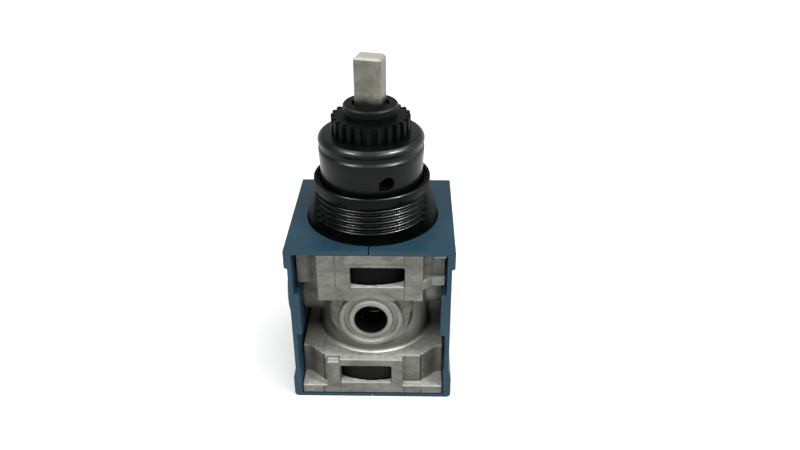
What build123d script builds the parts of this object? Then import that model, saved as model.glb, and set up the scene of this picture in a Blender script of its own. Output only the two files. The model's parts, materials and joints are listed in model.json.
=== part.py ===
from build123d import *
import os
from math import cos, radians, sin

# Lockable panel-mount pressure regulator, one solid for each piece.
# Millimetres, +Z up. The origin is the centre of the underside. The front port
# faces -Y, the left cover with its gauge bulge is on -X.

# ------------------------------------------------------------ driving dimensions
COVER_WIDTH = 54.0
DEPTH = 49.7
HEIGHT = 59.3            # top of the cover plate
TOP = 113.6              # end of the tang

PLATE_T = 1.7            # top plate of a cover
BASE_T = 1.35            # bottom plate of a cover
SEAM_X = -0.2            # the halves meet a little left of centre
SEAM_GAP = 0.4
PLATE_HOLE_R = 22.0
BASE_HOLE_R = 16.0

CASTING_WIDTH = 48.2
CASTING_BOTTOM = 1.5
CASTING_TOP = HEIGHT - PLATE_T - 0.1
BASE_TOP = 4.7           # top of the square foot of the casting
LOWER_TOP = 16.0         # top of the lower deck
UPPER_BOTTOM = 43.2      # underside of the upper deck
LEDGE_Z = 44.0           # the diaphragm is clamped on this ledge
CUP_R = 27.3             # outside of the round walls of both decks
CUP_BORE_R = 23.2
BARREL_R = 19.5
PORT_Z = 32.5
PORT_R = 5.2
SEAL_RECESS_R = 8.9
WINDOW_LENGTH = 17.4
WINDOW_HEIGHT = 7.2

SKIRT_R = 22.9           # bonnet skirt and bottom cap, seen through the windows
CAP_SHOULDER = 13.5      # top of the wide part of the bottom cap's bore
THREAD_R = 18.85
THREAD_ROOT_R = 18.1
THREAD_PITCH = 2.0
THREAD_TURNS = 5
THREAD_HALF_ANGLE = 62.0
RIM_Z = HEIGHT + 14.85
SLEEVE_R = 17.15
SLEEVE_TOP = HEIGHT + 29.65
SPLINE_TIP_R = 12.63
SPLINE_ROOT_R = 11.3
SPLINE_TOP = HEIGHT + 35.3
SPLINE_TEETH = 24
BUSH_R = 8.77
BUSH_TOP = HEIGHT + 39.25
SHAFT_R = 5.2
TANG_WIDTH = 8.8
TANG_THICKNESS = 6.8
TANG_TURN = -14.0

RUNNING = 0.05           # radial clearance of a running fit
TOUCH = 0.02             # gap between faces that only meet

FRONT = Plane(origin=(0, -DEPTH / 2, 0), x_dir=(1, 0, 0), z_dir=(0, -1, 0))
BACK = Plane(origin=(0, DEPTH / 2, 0), x_dir=(-1, 0, 0), z_dir=(0, 1, 0))
FROM_BASE = (Align.CENTER, Align.CENTER, Align.MIN)


# ------------------------------------------------------------ small helpers
def block(x, y, z, mode=Mode.ADD):
    """A box between two limits on each axis, in the current part."""
    middle = ((x[0] + x[1]) / 2, (y[0] + y[1]) / 2, (z[0] + z[1]) / 2)
    with Locations(middle):
        Box(x[1] - x[0], y[1] - y[0], z[1] - z[0], mode=mode)


def bar(plane, radius, length, mode=Mode.ADD):
    """A cylinder that starts on a plane and runs along its normal."""
    with Locations(plane):
        Cylinder(radius, length, align=FROM_BASE, mode=mode)


def sideways(side, distance, z=PORT_Z):
    """A plane across the X axis at a distance, facing outwards on that side."""
    return Plane(origin=(side * distance, 0, z), x_dir=(0, side, 0), z_dir=(side, 0, 0))


def turned(*outline):
    """A piece turned about Z from (radius, height) corners."""
    with BuildPart() as piece:
        with BuildSketch(Plane.XZ):
            with BuildLine():
                Polyline(*outline, close=True)
            make_face()
        revolve(axis=Axis.Z)
    return piece


def ring(middle_r, section_r, z):
    """A rubber ring of round section."""
    with BuildPart() as piece:
        with Locations((0, 0, z)):
            Torus(middle_r, section_r)
    return piece


def coil(middle_r, wire_r, bottom, top, turns):
    """A compression spring that fills the height between two faces."""
    height = top - bottom - 2 * wire_r - 2 * TOUCH
    with BuildPart() as piece:
        with BuildLine(Plane.XY.offset(bottom + wire_r + TOUCH)) as path:
            Helix(height / turns, height, middle_r)
        with BuildSketch(Plane(path.line @ 0, z_dir=path.line % 0)):
            Circle(wire_r)
        sweep(is_frenet=True)
    return piece


# ------------------------------------------------------------ die-cast body
UPPER_WINDOW = ((-6.3, -6.3 + WINDOW_LENGTH), (45.65, 45.65 + WINDOW_HEIGHT))
LOWER_WINDOW = ((-10.8, -10.8 + WINDOW_LENGTH), (6.0, 6.0 + WINDOW_HEIGHT))
UPPER_BLOCK = ((-16.8, 16.95), (40.3, CASTING_TOP))
LOWER_BLOCK = ((-15.3, 10.4), (CASTING_BOTTOM, LOWER_TOP))
BLOCK_DEPTH = 9.0
PANEL = (16.4, 22.4)     # flat panels beside the blocks: half width, distance from the middle
POST_Y_LOWER = 17.0
POST_Y_UPPER = 18.7
BOSS_R = 10.3
BOSS_INSET = 0.45
BOSS_FLARE_R = 13.8      # wider step where the port boss leaves the barrel
BOSS_FLARE_Y = 21.4
POST_BLEND = 3.0         # concave corner where a post meets the round wall
FOOT_BLEND = 1.2         # concave corner where the barrel meets the lower deck
LIP_R = 7.2              # raised rim round the port, inside the seal recess
LIP_ROUND = 0.6
LOWER_CHAMBER_R = 13.0
UPPER_CHAMBER_R = 12.0
WEB = (30.4, 34.5)       # wall that carries the valve seat
SEAT_BORE_R = 8.0
GUIDE_WALL = (38.8, 40.5)
GUIDE_R = 2.2
SENSING_CHAMBER_R = 17.5
PORT_END_Y = 13.8        # the port bores stop here and turn to their chambers
SEAL_RECESS_DEPTH = 1.5
SEAL_FLOOR_Y = DEPTH / 2 - BOSS_INSET - SEAL_RECESS_DEPTH
GAUGE_BOSS_R = {-1: 10.4, 1: 7.6}
GAUGE_BORE_R = 4.35
GAUGE_HEAD_R = 6.2
GAUGE_HEAD_DEPTH = 2.0
GAUGE_BORE_END = 14.0
GAUGE_PASSAGE_R = 1.2
GAUGE_PASSAGE_Z = 36.1
TUBE_R = 1.3
TUBE_Y = 9.5
CASTING_SIDE = CASTING_WIDTH / 2


def deck_plan(z, post_y):
    """Plan of a deck: a round wall cut off by the port faces, straight side walls
    that end in corner posts, and a flat panel beside each clamp block."""
    with BuildSketch(Plane.XY.offset(z)) as plan:
        Circle(CUP_R)
        Rectangle(CASTING_WIDTH, DEPTH, mode=Mode.INTERSECT)
        Rectangle(CASTING_WIDTH, 2 * post_y)
        corners = plan.vertices()
        corners = corners.filter_by(lambda v: abs(v.X) < CASTING_SIDE - 1 and abs(v.Y) < post_y + 0.01)
        fillet(corners, POST_BLEND)
        Rectangle(2 * PANEL[0], 2 * PANEL[1])
    return plan.sketch


def face_patch(face, x, z):
    """A rectangle drawn on a port face between two limits each way."""
    with BuildSketch(face) as patch:
        with Locations(((x[0] + x[1]) / 2, (z[0] + z[1]) / 2)):
            Rectangle(x[1] - x[0], z[1] - z[0])
    return patch.sketch


def port_axis(face, distance):
    """A plane square to a port, at a distance from the middle of the body."""
    return Plane(face.z_dir * distance + Vector(0, 0, PORT_Z), x_dir=face.x_dir, z_dir=face.z_dir)


def lintel_wedge(face, x, z, rise, depth):
    """The wedge taken off above a window, deepest at its top."""
    start = face.from_local_coords(Vector(x[0], 0, 0))
    across = Plane(start, x_dir=face.y_dir, z_dir=face.x_dir)
    with BuildSketch(across) as wedge:
        with BuildLine():
            Polyline((z, 0.1), (z + rise, -depth), (z + rise, 0.1), close=True)
        make_face()
    return wedge.sketch


with BuildPart() as body_casting:
    # square foot, lower deck, upper deck, barrel
    with BuildSketch(Plane.XY.offset(CASTING_BOTTOM)):
        RectangleRounded(CASTING_WIDTH, DEPTH, 1.0)
    extrude(amount=BASE_TOP - CASTING_BOTTOM)
    extrude(deck_plan(BASE_TOP, POST_Y_LOWER), amount=LOWER_TOP - BASE_TOP)
    extrude(deck_plan(UPPER_BOTTOM, POST_Y_UPPER), amount=CASTING_TOP - UPPER_BOTTOM)
    bar(Plane.XY.offset(BASE_TOP), BARREL_R, LEDGE_Z - BASE_TOP)
    with BuildSketch(Plane.XZ):
        with BuildLine():
            Polyline((BARREL_R, LOWER_TOP + FOOT_BLEND), (BARREL_R - 1, LOWER_TOP + FOOT_BLEND),
                     (BARREL_R - 1, LOWER_TOP - 1), (BARREL_R + FOOT_BLEND, LOWER_TOP - 1),
                     (BARREL_R + FOOT_BLEND, LOWER_TOP))
            RadiusArc((BARREL_R + FOOT_BLEND, LOWER_TOP), (BARREL_R, LOWER_TOP + FOOT_BLEND), FOOT_BLEND)
        make_face()
    revolve(axis=Axis.Z)

    for face in (FRONT, BACK):
        # the lower wall is flat beside its clamp block
        beside = face_patch(face, (LOWER_BLOCK[0][1], PANEL[0] + 0.5), (BASE_TOP, LOWER_TOP))
        extrude(beside, amount=PANEL[1] - DEPTH / 2, mode=Mode.SUBTRACT)
        # clamp blocks, the lower one with a step at its left end
        extrude(face_patch(face, *UPPER_BLOCK), amount=-BLOCK_DEPTH)
        extrude(face_patch(face, *LOWER_BLOCK), amount=-BLOCK_DEPTH)
        extrude(face_patch(face, (-15.3, -11.0), (14.9, LOWER_TOP)), amount=-2.4, mode=Mode.SUBTRACT)
        # port boss
        bar(port_axis(face, 0), BOSS_R, DEPTH / 2 - BOSS_INSET)
        bar(port_axis(face, 0), BOSS_FLARE_R, BOSS_FLARE_Y)

    # gauge bosses
    for side in (-1, 1):
        bar(sideways(side, 0), GAUGE_BOSS_R[side], CASTING_SIDE)

    for face in (FRONT, BACK):
        # the upper right corner is set back above a band and under a thin lip
        extrude(face_patch(face, (16.95, 25.0), (46.6, CASTING_TOP)), amount=-5.6, mode=Mode.SUBTRACT)
        extrude(face_patch(face, (20.2, CASTING_SIDE), (56.7, CASTING_TOP)), amount=-BLOCK_DEPTH)

    # bores for the bonnet, the diaphragm, the valve and the cap
    bar(Plane.XY.offset(LEDGE_Z), CUP_BORE_R, CASTING_TOP - LEDGE_Z, Mode.SUBTRACT)
    bar(Plane.XY.offset(GUIDE_WALL[1]), SENSING_CHAMBER_R, LEDGE_Z - GUIDE_WALL[1], Mode.SUBTRACT)
    bar(Plane.XY.offset(WEB[1]), UPPER_CHAMBER_R, GUIDE_WALL[0] - WEB[1], Mode.SUBTRACT)
    bar(Plane.XY.offset(WEB[0]), SEAT_BORE_R, WEB[1] - WEB[0], Mode.SUBTRACT)
    bar(Plane.XY.offset(CAP_SHOULDER), LOWER_CHAMBER_R, WEB[0] - CAP_SHOULDER, Mode.SUBTRACT)
    bar(Plane.XY.offset(CASTING_BOTTOM), CUP_BORE_R, CAP_SHOULDER - CASTING_BOTTOM, Mode.SUBTRACT)
    bar(Plane.XY.offset(GUIDE_WALL[0]), GUIDE_R, GUIDE_WALL[1] - GUIDE_WALL[0], Mode.SUBTRACT)
    bar(Plane.XY.offset(GUIDE_WALL[0]).move(Location((0, TUBE_Y, 0))), TUBE_R, 2.0, Mode.SUBTRACT)

    # ports: the front one leads down to the inlet, the back one up to the outlet
    for face in (FRONT, BACK):
        bar(port_axis(face, SEAL_FLOOR_Y), SEAL_RECESS_R, 3.0, Mode.SUBTRACT)
        bar(port_axis(face, SEAL_FLOOR_Y - 1.0), LIP_R, SEAL_RECESS_DEPTH + 1.0)
        with Locations(port_axis(face, PORT_END_Y)):
            Cylinder(PORT_R, DEPTH / 2 - PORT_END_Y, align=FROM_BASE, mode=Mode.SUBTRACT)
    lips = body_casting.edges().filter_by(GeomType.CIRCLE).filter_by(
        lambda e: abs(abs(e.center().Y) - (DEPTH / 2 - BOSS_INSET)) < 0.01 and e.radius < LIP_R + 0.1)
    fillet(lips, LIP_ROUND)
    block((-3.5, 3.5), (-18.2, -8.0), (22.0, WEB[0]), Mode.SUBTRACT)
    block((-3.5, 3.5), (8.0, 18.2), (WEB[1], GUIDE_WALL[0]), Mode.SUBTRACT)

    # clamp windows, with a bevel above the upper one
    for face in (FRONT, BACK):
        extrude(face_patch(face, *UPPER_WINDOW), amount=-8.0, mode=Mode.SUBTRACT)
        extrude(face_patch(face, *LOWER_WINDOW), amount=-8.0, mode=Mode.SUBTRACT)
        bevel = lintel_wedge(face, (-7.0, 12.0), UPPER_WINDOW[1][1] + 0.2, 1.3, 0.6)
        extrude(bevel, amount=19.0, mode=Mode.SUBTRACT)

    # gauge ports with a recess for the plug head, joined to the outlet chamber
    for side in (-1, 1):
        bar(sideways(side, GAUGE_BORE_END), GAUGE_BORE_R, CASTING_SIDE - GAUGE_BORE_END, Mode.SUBTRACT)
        bar(sideways(side, CASTING_SIDE - GAUGE_HEAD_DEPTH), GAUGE_HEAD_R, GAUGE_HEAD_DEPTH, Mode.SUBTRACT)
        bar(sideways(side, 8.0, GAUGE_PASSAGE_Z), GAUGE_PASSAGE_R, 7.0, Mode.SUBTRACT)


# ------------------------------------------------------------ covers
COVER_SIDE = COVER_WIDTH / 2
WALL_OUTER = 26.0
WALL_INNER = 24.6
FLANGE_BOTTOM = 52.8     # the deep rim round the cover's top ends here
FOOT_TOP = 12.5
FOOT_WIDEST = 26.9
FOOT_INNER = 24.3
FOOT_ROUND = 1.5
PAD = ((22.9, 24.8), (26.6, 42.8), 8.0)   # locating pads between the decks: X, Z, length
BULGE_R = 12.0
BULGE_Z = 31.5
BULGE_END = 29.2
BULGE_WALL = 1.4


def half_cover(side):
    """One C-shaped half: top plate, side wall with rim and foot, bottom plate."""
    seam = side * SEAM_X + SEAM_GAP / 2
    with BuildPart() as cover:
        with BuildSketch(Plane.XZ.offset(-DEPTH / 2)):
            with BuildLine():
                Polyline(
                    (side * seam, 0),
                    (side * seam, BASE_T),
                    (side * FOOT_INNER, BASE_T),
                    (side * FOOT_INNER, FOOT_TOP),
                    (side * WALL_INNER, FOOT_TOP),
                    (side * WALL_INNER, HEIGHT - PLATE_T),
                    (side * seam, HEIGHT - PLATE_T),
                    (side * seam, HEIGHT),
                    (side * COVER_SIDE, HEIGHT),
                    (side * COVER_SIDE, FLANGE_BOTTOM),
                    (side * WALL_OUTER, FLANGE_BOTTOM - 0.4),
                    (side * WALL_OUTER, FOOT_TOP),
                    (side * FOOT_WIDEST, 8.0),
                    (side * FOOT_WIDEST, FOOT_ROUND),
                )
                RadiusArc(
                    (side * FOOT_WIDEST, FOOT_ROUND),
                    (side * (FOOT_WIDEST - FOOT_ROUND), 0),
                    side * FOOT_ROUND,
                )
                Line((side * (FOOT_WIDEST - FOOT_ROUND), 0), (side * seam, 0))
            make_face()
        extrude(amount=DEPTH)
        # locating pads at both ends of the wall
        for y in ((-DEPTH / 2, -DEPTH / 2 + PAD[2]), (DEPTH / 2 - PAD[2], DEPTH / 2)):
            block(sorted((side * PAD[0][0], side * PAD[0][1])), y, PAD[1])
        # holes for the bonnet and the bottom cap
        bar(Plane.XY.offset(HEIGHT - 2 * PLATE_T), PLATE_HOLE_R, 3 * PLATE_T, Mode.SUBTRACT)
        bar(Plane.XY, BASE_HOLE_R, 2 * BASE_T, Mode.SUBTRACT)
        # rounded outer edge of the top plate
        rim = cover.edges().filter_by(Axis.Y).sort_by(Axis.Z)[-3:].sort_by(Axis.X)
        fillet(rim[0] if side < 0 else rim[-1], 0.5)
    return cover


right_cover = half_cover(1)

with BuildPart() as left_cover:
    add(half_cover(-1).part)
    with BuildSketch(sideways(-1, WALL_OUTER - 0.5, BULGE_Z)):
        Circle(BULGE_R)
    extrude(amount=BULGE_END - WALL_OUTER + 0.5)
    fillet(left_cover.edges().sort_by(Axis.X)[0], 1.3)
    hollow = (WALL_INNER - 1.0, BULGE_END - BULGE_WALL)
    bar(sideways(-1, hollow[0], BULGE_Z), BULGE_R - BULGE_WALL, hollow[1] - hollow[0], Mode.SUBTRACT)


# ------------------------------------------------------------ bonnet and detent sleeve
SKIRT_BOTTOM = 45.6
NECK_R = 21.5            # flared foot of the side lands, inside the plate hole
LAND_FOOT_Z = HEIGHT + 1.0
BAND_BOTTOM = HEIGHT + 11.5
BAND_R = 19.05
STEP_R = 18.0
GAP_R = 17.2
GAP_BOTTOM = HEIGHT + 12.0
SOCKET_R = 16.0          # the sleeve's lower part fits here
SOCKET_FLOOR = HEIGHT - 2.4
SPRING_BORE_R = 14.2
PLATE_SPACE_R = 19.3     # room for the diaphragm plate
PLATE_SPACE_TOP = 50.5
RIDGE_FOOT = 0.8
RIDGE_CREST = 0.25

with BuildPart() as threaded_bonnet:
    with BuildSketch(Plane.XZ):
        with BuildLine():
            Polyline(
                (BAND_R, BAND_BOTTOM),
                (BAND_R, RIM_Z - 0.3),
                (BAND_R - 0.3, RIM_Z),
                (STEP_R, RIM_Z),
                (STEP_R, RIM_Z - 1.0),
                (GAP_R, RIM_Z - 1.0),
                (GAP_R, GAP_BOTTOM),
                (SOCKET_R + RUNNING, GAP_BOTTOM),
                (SOCKET_R + RUNNING, SOCKET_FLOOR),
                (SPRING_BORE_R, SOCKET_FLOOR),
                (SPRING_BORE_R, PLATE_SPACE_TOP),
                (PLATE_SPACE_R, PLATE_SPACE_TOP),
                (PLATE_SPACE_R, SKIRT_BOTTOM),
                (SKIRT_R, SKIRT_BOTTOM),
                (SKIRT_R, CASTING_TOP),
                (NECK_R, CASTING_TOP),
                (NECK_R, LAND_FOOT_Z),
            )
            Spline((NECK_R, LAND_FOOT_Z), (BAND_R, BAND_BOTTOM), tangents=((0, 1), (0, 1)))
        make_face()
    revolve(axis=Axis.Z)

    # the thread is cut only into the front and the back; the sides stay plain lands
    for middle in (-90, 90):
        start = radians(middle - THREAD_HALF_ANGLE)
        end = radians(middle + THREAD_HALF_ANGLE)
        with BuildSketch(Plane.XY.offset(CASTING_TOP)):
            Circle(SKIRT_R + 1)
            Circle(THREAD_ROOT_R, mode=Mode.SUBTRACT)
            with BuildLine():
                Polyline(
                    (0, 0),
                    (60 * cos(start), 60 * sin(start)),
                    (60 * cos(radians(middle)), 60 * sin(radians(middle))),
                    (60 * cos(end), 60 * sin(end)),
                    close=True,
                )
            make_face(mode=Mode.INTERSECT)
        extrude(amount=BAND_BOTTOM - CASTING_TOP, mode=Mode.SUBTRACT)
        for turn in range(THREAD_TURNS):
            z = HEIGHT + 2.2 + turn * THREAD_PITCH
            with BuildSketch(Plane((0, 0, 0), (cos(start), sin(start), 0), (sin(start), -cos(start), 0))):
                with BuildLine():
                    Polyline(
                        (THREAD_ROOT_R - 0.3, z - RIDGE_FOOT),
                        (THREAD_ROOT_R, z - RIDGE_FOOT),
                        (THREAD_R, z - RIDGE_CREST),
                        (THREAD_R, z + RIDGE_CREST),
                        (THREAD_ROOT_R, z + RIDGE_FOOT),
                        (THREAD_ROOT_R - 0.3, z + RIDGE_FOOT),
                        close=True,
                    )
                make_face()
            revolve(axis=Axis.Z, revolution_arc=2 * THREAD_HALF_ANGLE)

SLEEVE_WAIST_R = 16.65
SLEEVE_LIP_Z = HEIGHT + 24.9
GROOVE_R = 16.5
SHOULDER_BOTTOM = HEIGHT + 27.5
SLEEVE_BORE_R = 14.0
SLEEVE_ROOF = HEIGHT + 23.9
BUSH_SHANK_R = 7.0
HOLE_ANGLE = -90 + 19.8
HOLE_Z = HEIGHT + 18.7
HOLE_R = 2.2
RIB = (12.9, 1.5)        # inner radius and half width of the ribs that hold the spring nut

detent_outline = (
    (SLEEVE_BORE_R, SOCKET_FLOOR),
    (SOCKET_R, SOCKET_FLOOR),
    (SOCKET_R, GAP_BOTTOM),
    (SLEEVE_WAIST_R, GAP_BOTTOM + 0.3),
    (SLEEVE_WAIST_R, RIM_Z + 1.0),
    (SLEEVE_R - 0.05, SLEEVE_LIP_Z - 0.2),
    (SLEEVE_R - 0.1, SLEEVE_LIP_Z),
    (GROOVE_R, SLEEVE_LIP_Z + 0.3),
    (GROOVE_R, SHOULDER_BOTTOM - 0.2),
    (SLEEVE_R, SHOULDER_BOTTOM),
    (SLEEVE_R, SLEEVE_TOP - 0.4),
    (SLEEVE_R - 0.4, SLEEVE_TOP),
    (BUSH_SHANK_R, SLEEVE_TOP),
    (BUSH_SHANK_R, SLEEVE_ROOF),
    (SLEEVE_BORE_R, SLEEVE_ROOF),
)

with BuildPart() as detent_sleeve:
    add(turned(*detent_outline).part)
    for x in ((RIB[0], SLEEVE_BORE_R + 0.5), (-SLEEVE_BORE_R - 0.5, -RIB[0])):
        block(x, (-RIB[1], RIB[1]), (SOCKET_FLOOR, SLEEVE_ROOF))
    # radial hole with a small square notch at its lower left
    outwards = Vector(cos(radians(HOLE_ANGLE)), sin(radians(HOLE_ANGLE)), 0)
    hole_start = outwards * 12.0 + Vector(0, 0, HOLE_Z)
    hole_plane = Plane(hole_start, x_dir=(-outwards.Y, outwards.X, 0), z_dir=outwards)
    bar(hole_plane, HOLE_R, 7.0, Mode.SUBTRACT)
    with BuildSketch(hole_plane):
        with Locations((-1.9, -0.8)):
            Rectangle(1.6, 2.8)
    extrude(amount=7.0, mode=Mode.SUBTRACT)


# ------------------------------------------------------------ locking ring and spindle bush
TOOTH_HALF_FOOT = 1.0
TOOTH_HALF_TIP = 0.7
BUSH_FLANGE_R = 8.9
BUSH_NECK_R = 8.3
BUSH_NECK = (SPLINE_TOP, SPLINE_TOP + 1.2)
BUSH_RECESS_R = 5.9
BUSH_RECESS_Z = BUSH_TOP - 1.2
SEAL_Z = HEIGHT + 32.9
SEAL_GROOVE_R = 6.8

with BuildPart() as lock_spline_ring:
    with BuildSketch(Plane.XY.offset(SLEEVE_TOP)):
        Circle(SPLINE_ROOT_R)
        with PolarLocations(0, SPLINE_TEETH):
            Polygon((SPLINE_ROOT_R - 0.6, -TOOTH_HALF_FOOT), (SPLINE_TIP_R, -TOOTH_HALF_TIP),
                    (SPLINE_TIP_R, TOOTH_HALF_TIP), (SPLINE_ROOT_R - 0.6, TOOTH_HALF_FOOT), align=None)
        Circle(BUSH_FLANGE_R, mode=Mode.SUBTRACT)
    extrude(amount=SPLINE_TOP - SLEEVE_TOP)

spindle_bush = turned(
    (SHAFT_R + RUNNING, SLEEVE_ROOF),
    (BUSH_SHANK_R, SLEEVE_ROOF),
    (BUSH_SHANK_R, SLEEVE_TOP),
    (BUSH_FLANGE_R, SLEEVE_TOP),
    (BUSH_FLANGE_R, BUSH_NECK[0]),
    (BUSH_NECK_R, BUSH_NECK[0]),
    (BUSH_NECK_R, BUSH_NECK[1]),
    (BUSH_R, BUSH_NECK[1] + 0.3),
    (BUSH_R, BUSH_TOP - 0.5),
    (BUSH_R - 0.5, BUSH_TOP),
    (BUSH_RECESS_R, BUSH_TOP),
    (BUSH_RECESS_R, BUSH_RECESS_Z),
    (SHAFT_R + RUNNING, BUSH_RECESS_Z),
    (SHAFT_R + RUNNING, SEAL_Z + 0.8),
    (SEAL_GROOVE_R, SEAL_Z + 0.8),
    (SEAL_GROOVE_R, SEAL_Z - 0.8),
    (SHAFT_R + RUNNING, SEAL_Z - 0.8),
)

spindle_seal = ring(6.02, 0.75, SEAL_Z)


# ------------------------------------------------------------ adjusting spindle and spring nut
WASHER = (SHAFT_R + 0.1, 9.0, SLEEVE_ROOF - 1.0, SLEEVE_ROOF)
COLLAR_TOP = WASHER[2] - TOUCH
COLLAR_BOTTOM = COLLAR_TOP - 2.9
SCREW_R = 5.0
SCREW_END = 57.5
TANG_BOTTOM = BUSH_RECESS_Z + 0.4
NUT_TOP = 76.3
SPRING_TOP = 70.3
NUT_R = 13.7
NUT_BOTTOM = 66.3

with BuildPart() as adjusting_spindle:
    add(turned(
        (0, SCREW_END),
        (SCREW_R - 1.0, SCREW_END),
        (SCREW_R, SCREW_END + 1.0),
        (SCREW_R, COLLAR_BOTTOM),
        (8.8, COLLAR_BOTTOM),
        (8.8, COLLAR_TOP),
        (SHAFT_R, COLLAR_TOP),
        (SHAFT_R, TANG_BOTTOM),
        (0, TANG_BOTTOM),
    ).part)
    with BuildSketch(Plane.XY.offset(TANG_BOTTOM)):
        Rectangle(TANG_WIDTH, TANG_THICKNESS, rotation=TANG_TURN)
        Circle(SHAFT_R, mode=Mode.INTERSECT)
    extrude(amount=TOP - TANG_BOTTOM)
    chamfer(adjusting_spindle.edges().group_by(Axis.Z)[-1], 0.7)

with BuildPart() as spring_nut:
    add(turned(
        (SCREW_R + 0.1, NUT_BOTTOM),
        (8.0, NUT_BOTTOM),
        (8.0, SPRING_TOP),
        (NUT_R, SPRING_TOP),
        (NUT_R, NUT_TOP),
        (SCREW_R + 0.1, NUT_TOP),
    ).part)
    for x in ((RIB[0] - 0.3, NUT_R + 1), (-NUT_R - 1, -RIB[0] + 0.3)):
        block(x, (-RIB[1] - 0.3, RIB[1] + 0.3), (SPRING_TOP - 1, NUT_TOP + 1), Mode.SUBTRACT)

thrust_washer = turned(
    (WASHER[0], WASHER[2]),
    (WASHER[1], WASHER[2]),
    (WASHER[1], WASHER[3]),
    (WASHER[0], WASHER[3]),
)


# ------------------------------------------------------------ diaphragm stack
RUBBER_T = 1.0
DISC_BOTTOM = 44.6       # middle of the diaphragm, a little above its rim
PLATE_TOP = 47.2
PLATE_R = 13.0
HUB_R = 11.0
HUB_BOTTOM = 43.1
HUB_NECK_R = 3.9
HUB_TOP = 51.0
RELIEF_R = 1.2
CLAMP_R = (18.5, 22.6)   # the rim held between the ledge and the slip ring

with BuildPart() as diaphragm:
    with BuildSketch(Plane.XZ):
        with BuildLine():
            Polyline(
                (PLATE_R + 0.4, DISC_BOTTOM + RUBBER_T),
                (HUB_NECK_R, DISC_BOTTOM + RUBBER_T),
                (HUB_NECK_R, DISC_BOTTOM),
                (PLATE_R - 0.4, DISC_BOTTOM),
            )
            ThreePointArc((PLATE_R - 0.4, DISC_BOTTOM), (15.1, LEDGE_Z - 0.9), (17.3, LEDGE_Z))
            Polyline(
                (17.3, LEDGE_Z),
                (CLAMP_R[1], LEDGE_Z),
                (CLAMP_R[1], LEDGE_Z + RUBBER_T),
                (17.8, LEDGE_Z + RUBBER_T),
            )
            ThreePointArc(
                (17.8, LEDGE_Z + RUBBER_T),
                (15.5, LEDGE_Z + 0.15),
                (PLATE_R + 0.4, DISC_BOTTOM + RUBBER_T),
            )
        make_face()
    revolve(axis=Axis.Z)

slip_ring = turned(
    (CLAMP_R[0], LEDGE_Z + RUBBER_T),
    (CLAMP_R[1], LEDGE_Z + RUBBER_T),
    (CLAMP_R[1], SKIRT_BOTTOM),
    (CLAMP_R[0], SKIRT_BOTTOM),
)

diaphragm_plate = turned(
    (HUB_NECK_R, DISC_BOTTOM + RUBBER_T),
    (PLATE_R, DISC_BOTTOM + RUBBER_T),
    (PLATE_R + 0.6, PLATE_TOP - 0.8),
    (PLATE_R + 0.6, PLATE_TOP + 0.9),
    (PLATE_R - 0.4, PLATE_TOP + 0.9),
    (PLATE_R - 0.4, PLATE_TOP),
    (HUB_NECK_R, PLATE_TOP),
)

diaphragm_hub = turned(
    (RELIEF_R, HUB_BOTTOM),
    (HUB_R, HUB_BOTTOM),
    (HUB_R, DISC_BOTTOM),
    (HUB_NECK_R, DISC_BOTTOM),
    (HUB_NECK_R, HUB_TOP),
    (RELIEF_R, HUB_TOP),
)

with BuildPart() as hub_nut:
    with BuildSketch(Plane.XY.offset(PLATE_TOP)):
        RegularPolygon(6.4, 6)
        Circle(HUB_NECK_R, mode=Mode.SUBTRACT)
    extrude(amount=3.0)

main_spring = coil(10.7, 1.6, PLATE_TOP, SPRING_TOP, 4)


# ------------------------------------------------------------ valve and bottom cap
STEM_R = 1.6
STEM_BOTTOM = 26.5
SEAL_TOP = WEB[0] - TOUCH
POPPET_TOP = 28.6
POPPET_FLANGE = 25.5
POPPET_R = 7.2
GUIDE_TUBE_R = 4.9
GUIDE_TUBE_BOTTOM = 12.0
CAP_BOSS_R = 15.7
CAP_TOP = 22.0
CAP_NECK_R = LOWER_CHAMBER_R - 0.1
CAP_RING_Z = 17.2
CAP_GROOVE = (11.5, 1.0)
GUIDE_BORE_R = GUIDE_TUBE_R + RUNNING
SPRING_POCKET = (7.0, 15.0)
GUIDE_RING_Z = 12.9
GUIDE_GROOVE = (6.5, 0.85)
GUIDE_BORE_FLOOR = 8.0

valve_seat = turned(
    (5.0, WEB[0]),
    (SEAT_BORE_R, WEB[0]),
    (SEAT_BORE_R, WEB[1]),
    (6.0, WEB[1]),
    (5.0, WEB[1] - 1.0),
)

with BuildPart() as valve_stem:
    bar(Plane.XY.offset(STEM_BOTTOM), STEM_R, HUB_BOTTOM - TOUCH - STEM_BOTTOM)
    chamfer(valve_stem.edges().sort_by(Axis.Z)[-1], 0.3)

valve_poppet = turned(
    (0, GUIDE_TUBE_BOTTOM),
    (GUIDE_TUBE_R, GUIDE_TUBE_BOTTOM),
    (GUIDE_TUBE_R, POPPET_FLANGE),
    (POPPET_R, POPPET_FLANGE),
    (POPPET_R, POPPET_TOP),
    (STEM_R, POPPET_TOP),
    (STEM_R, STEM_BOTTOM),
    (0, STEM_BOTTOM),
)

poppet_seal = turned(
    (STEM_R, POPPET_TOP),
    (POPPET_R - 0.2, POPPET_TOP),
    (POPPET_R - 0.2, SEAL_TOP),
    (STEM_R, SEAL_TOP),
)

return_spring = coil(6.0, 0.55, SPRING_POCKET[1], POPPET_FLANGE, 5)

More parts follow.
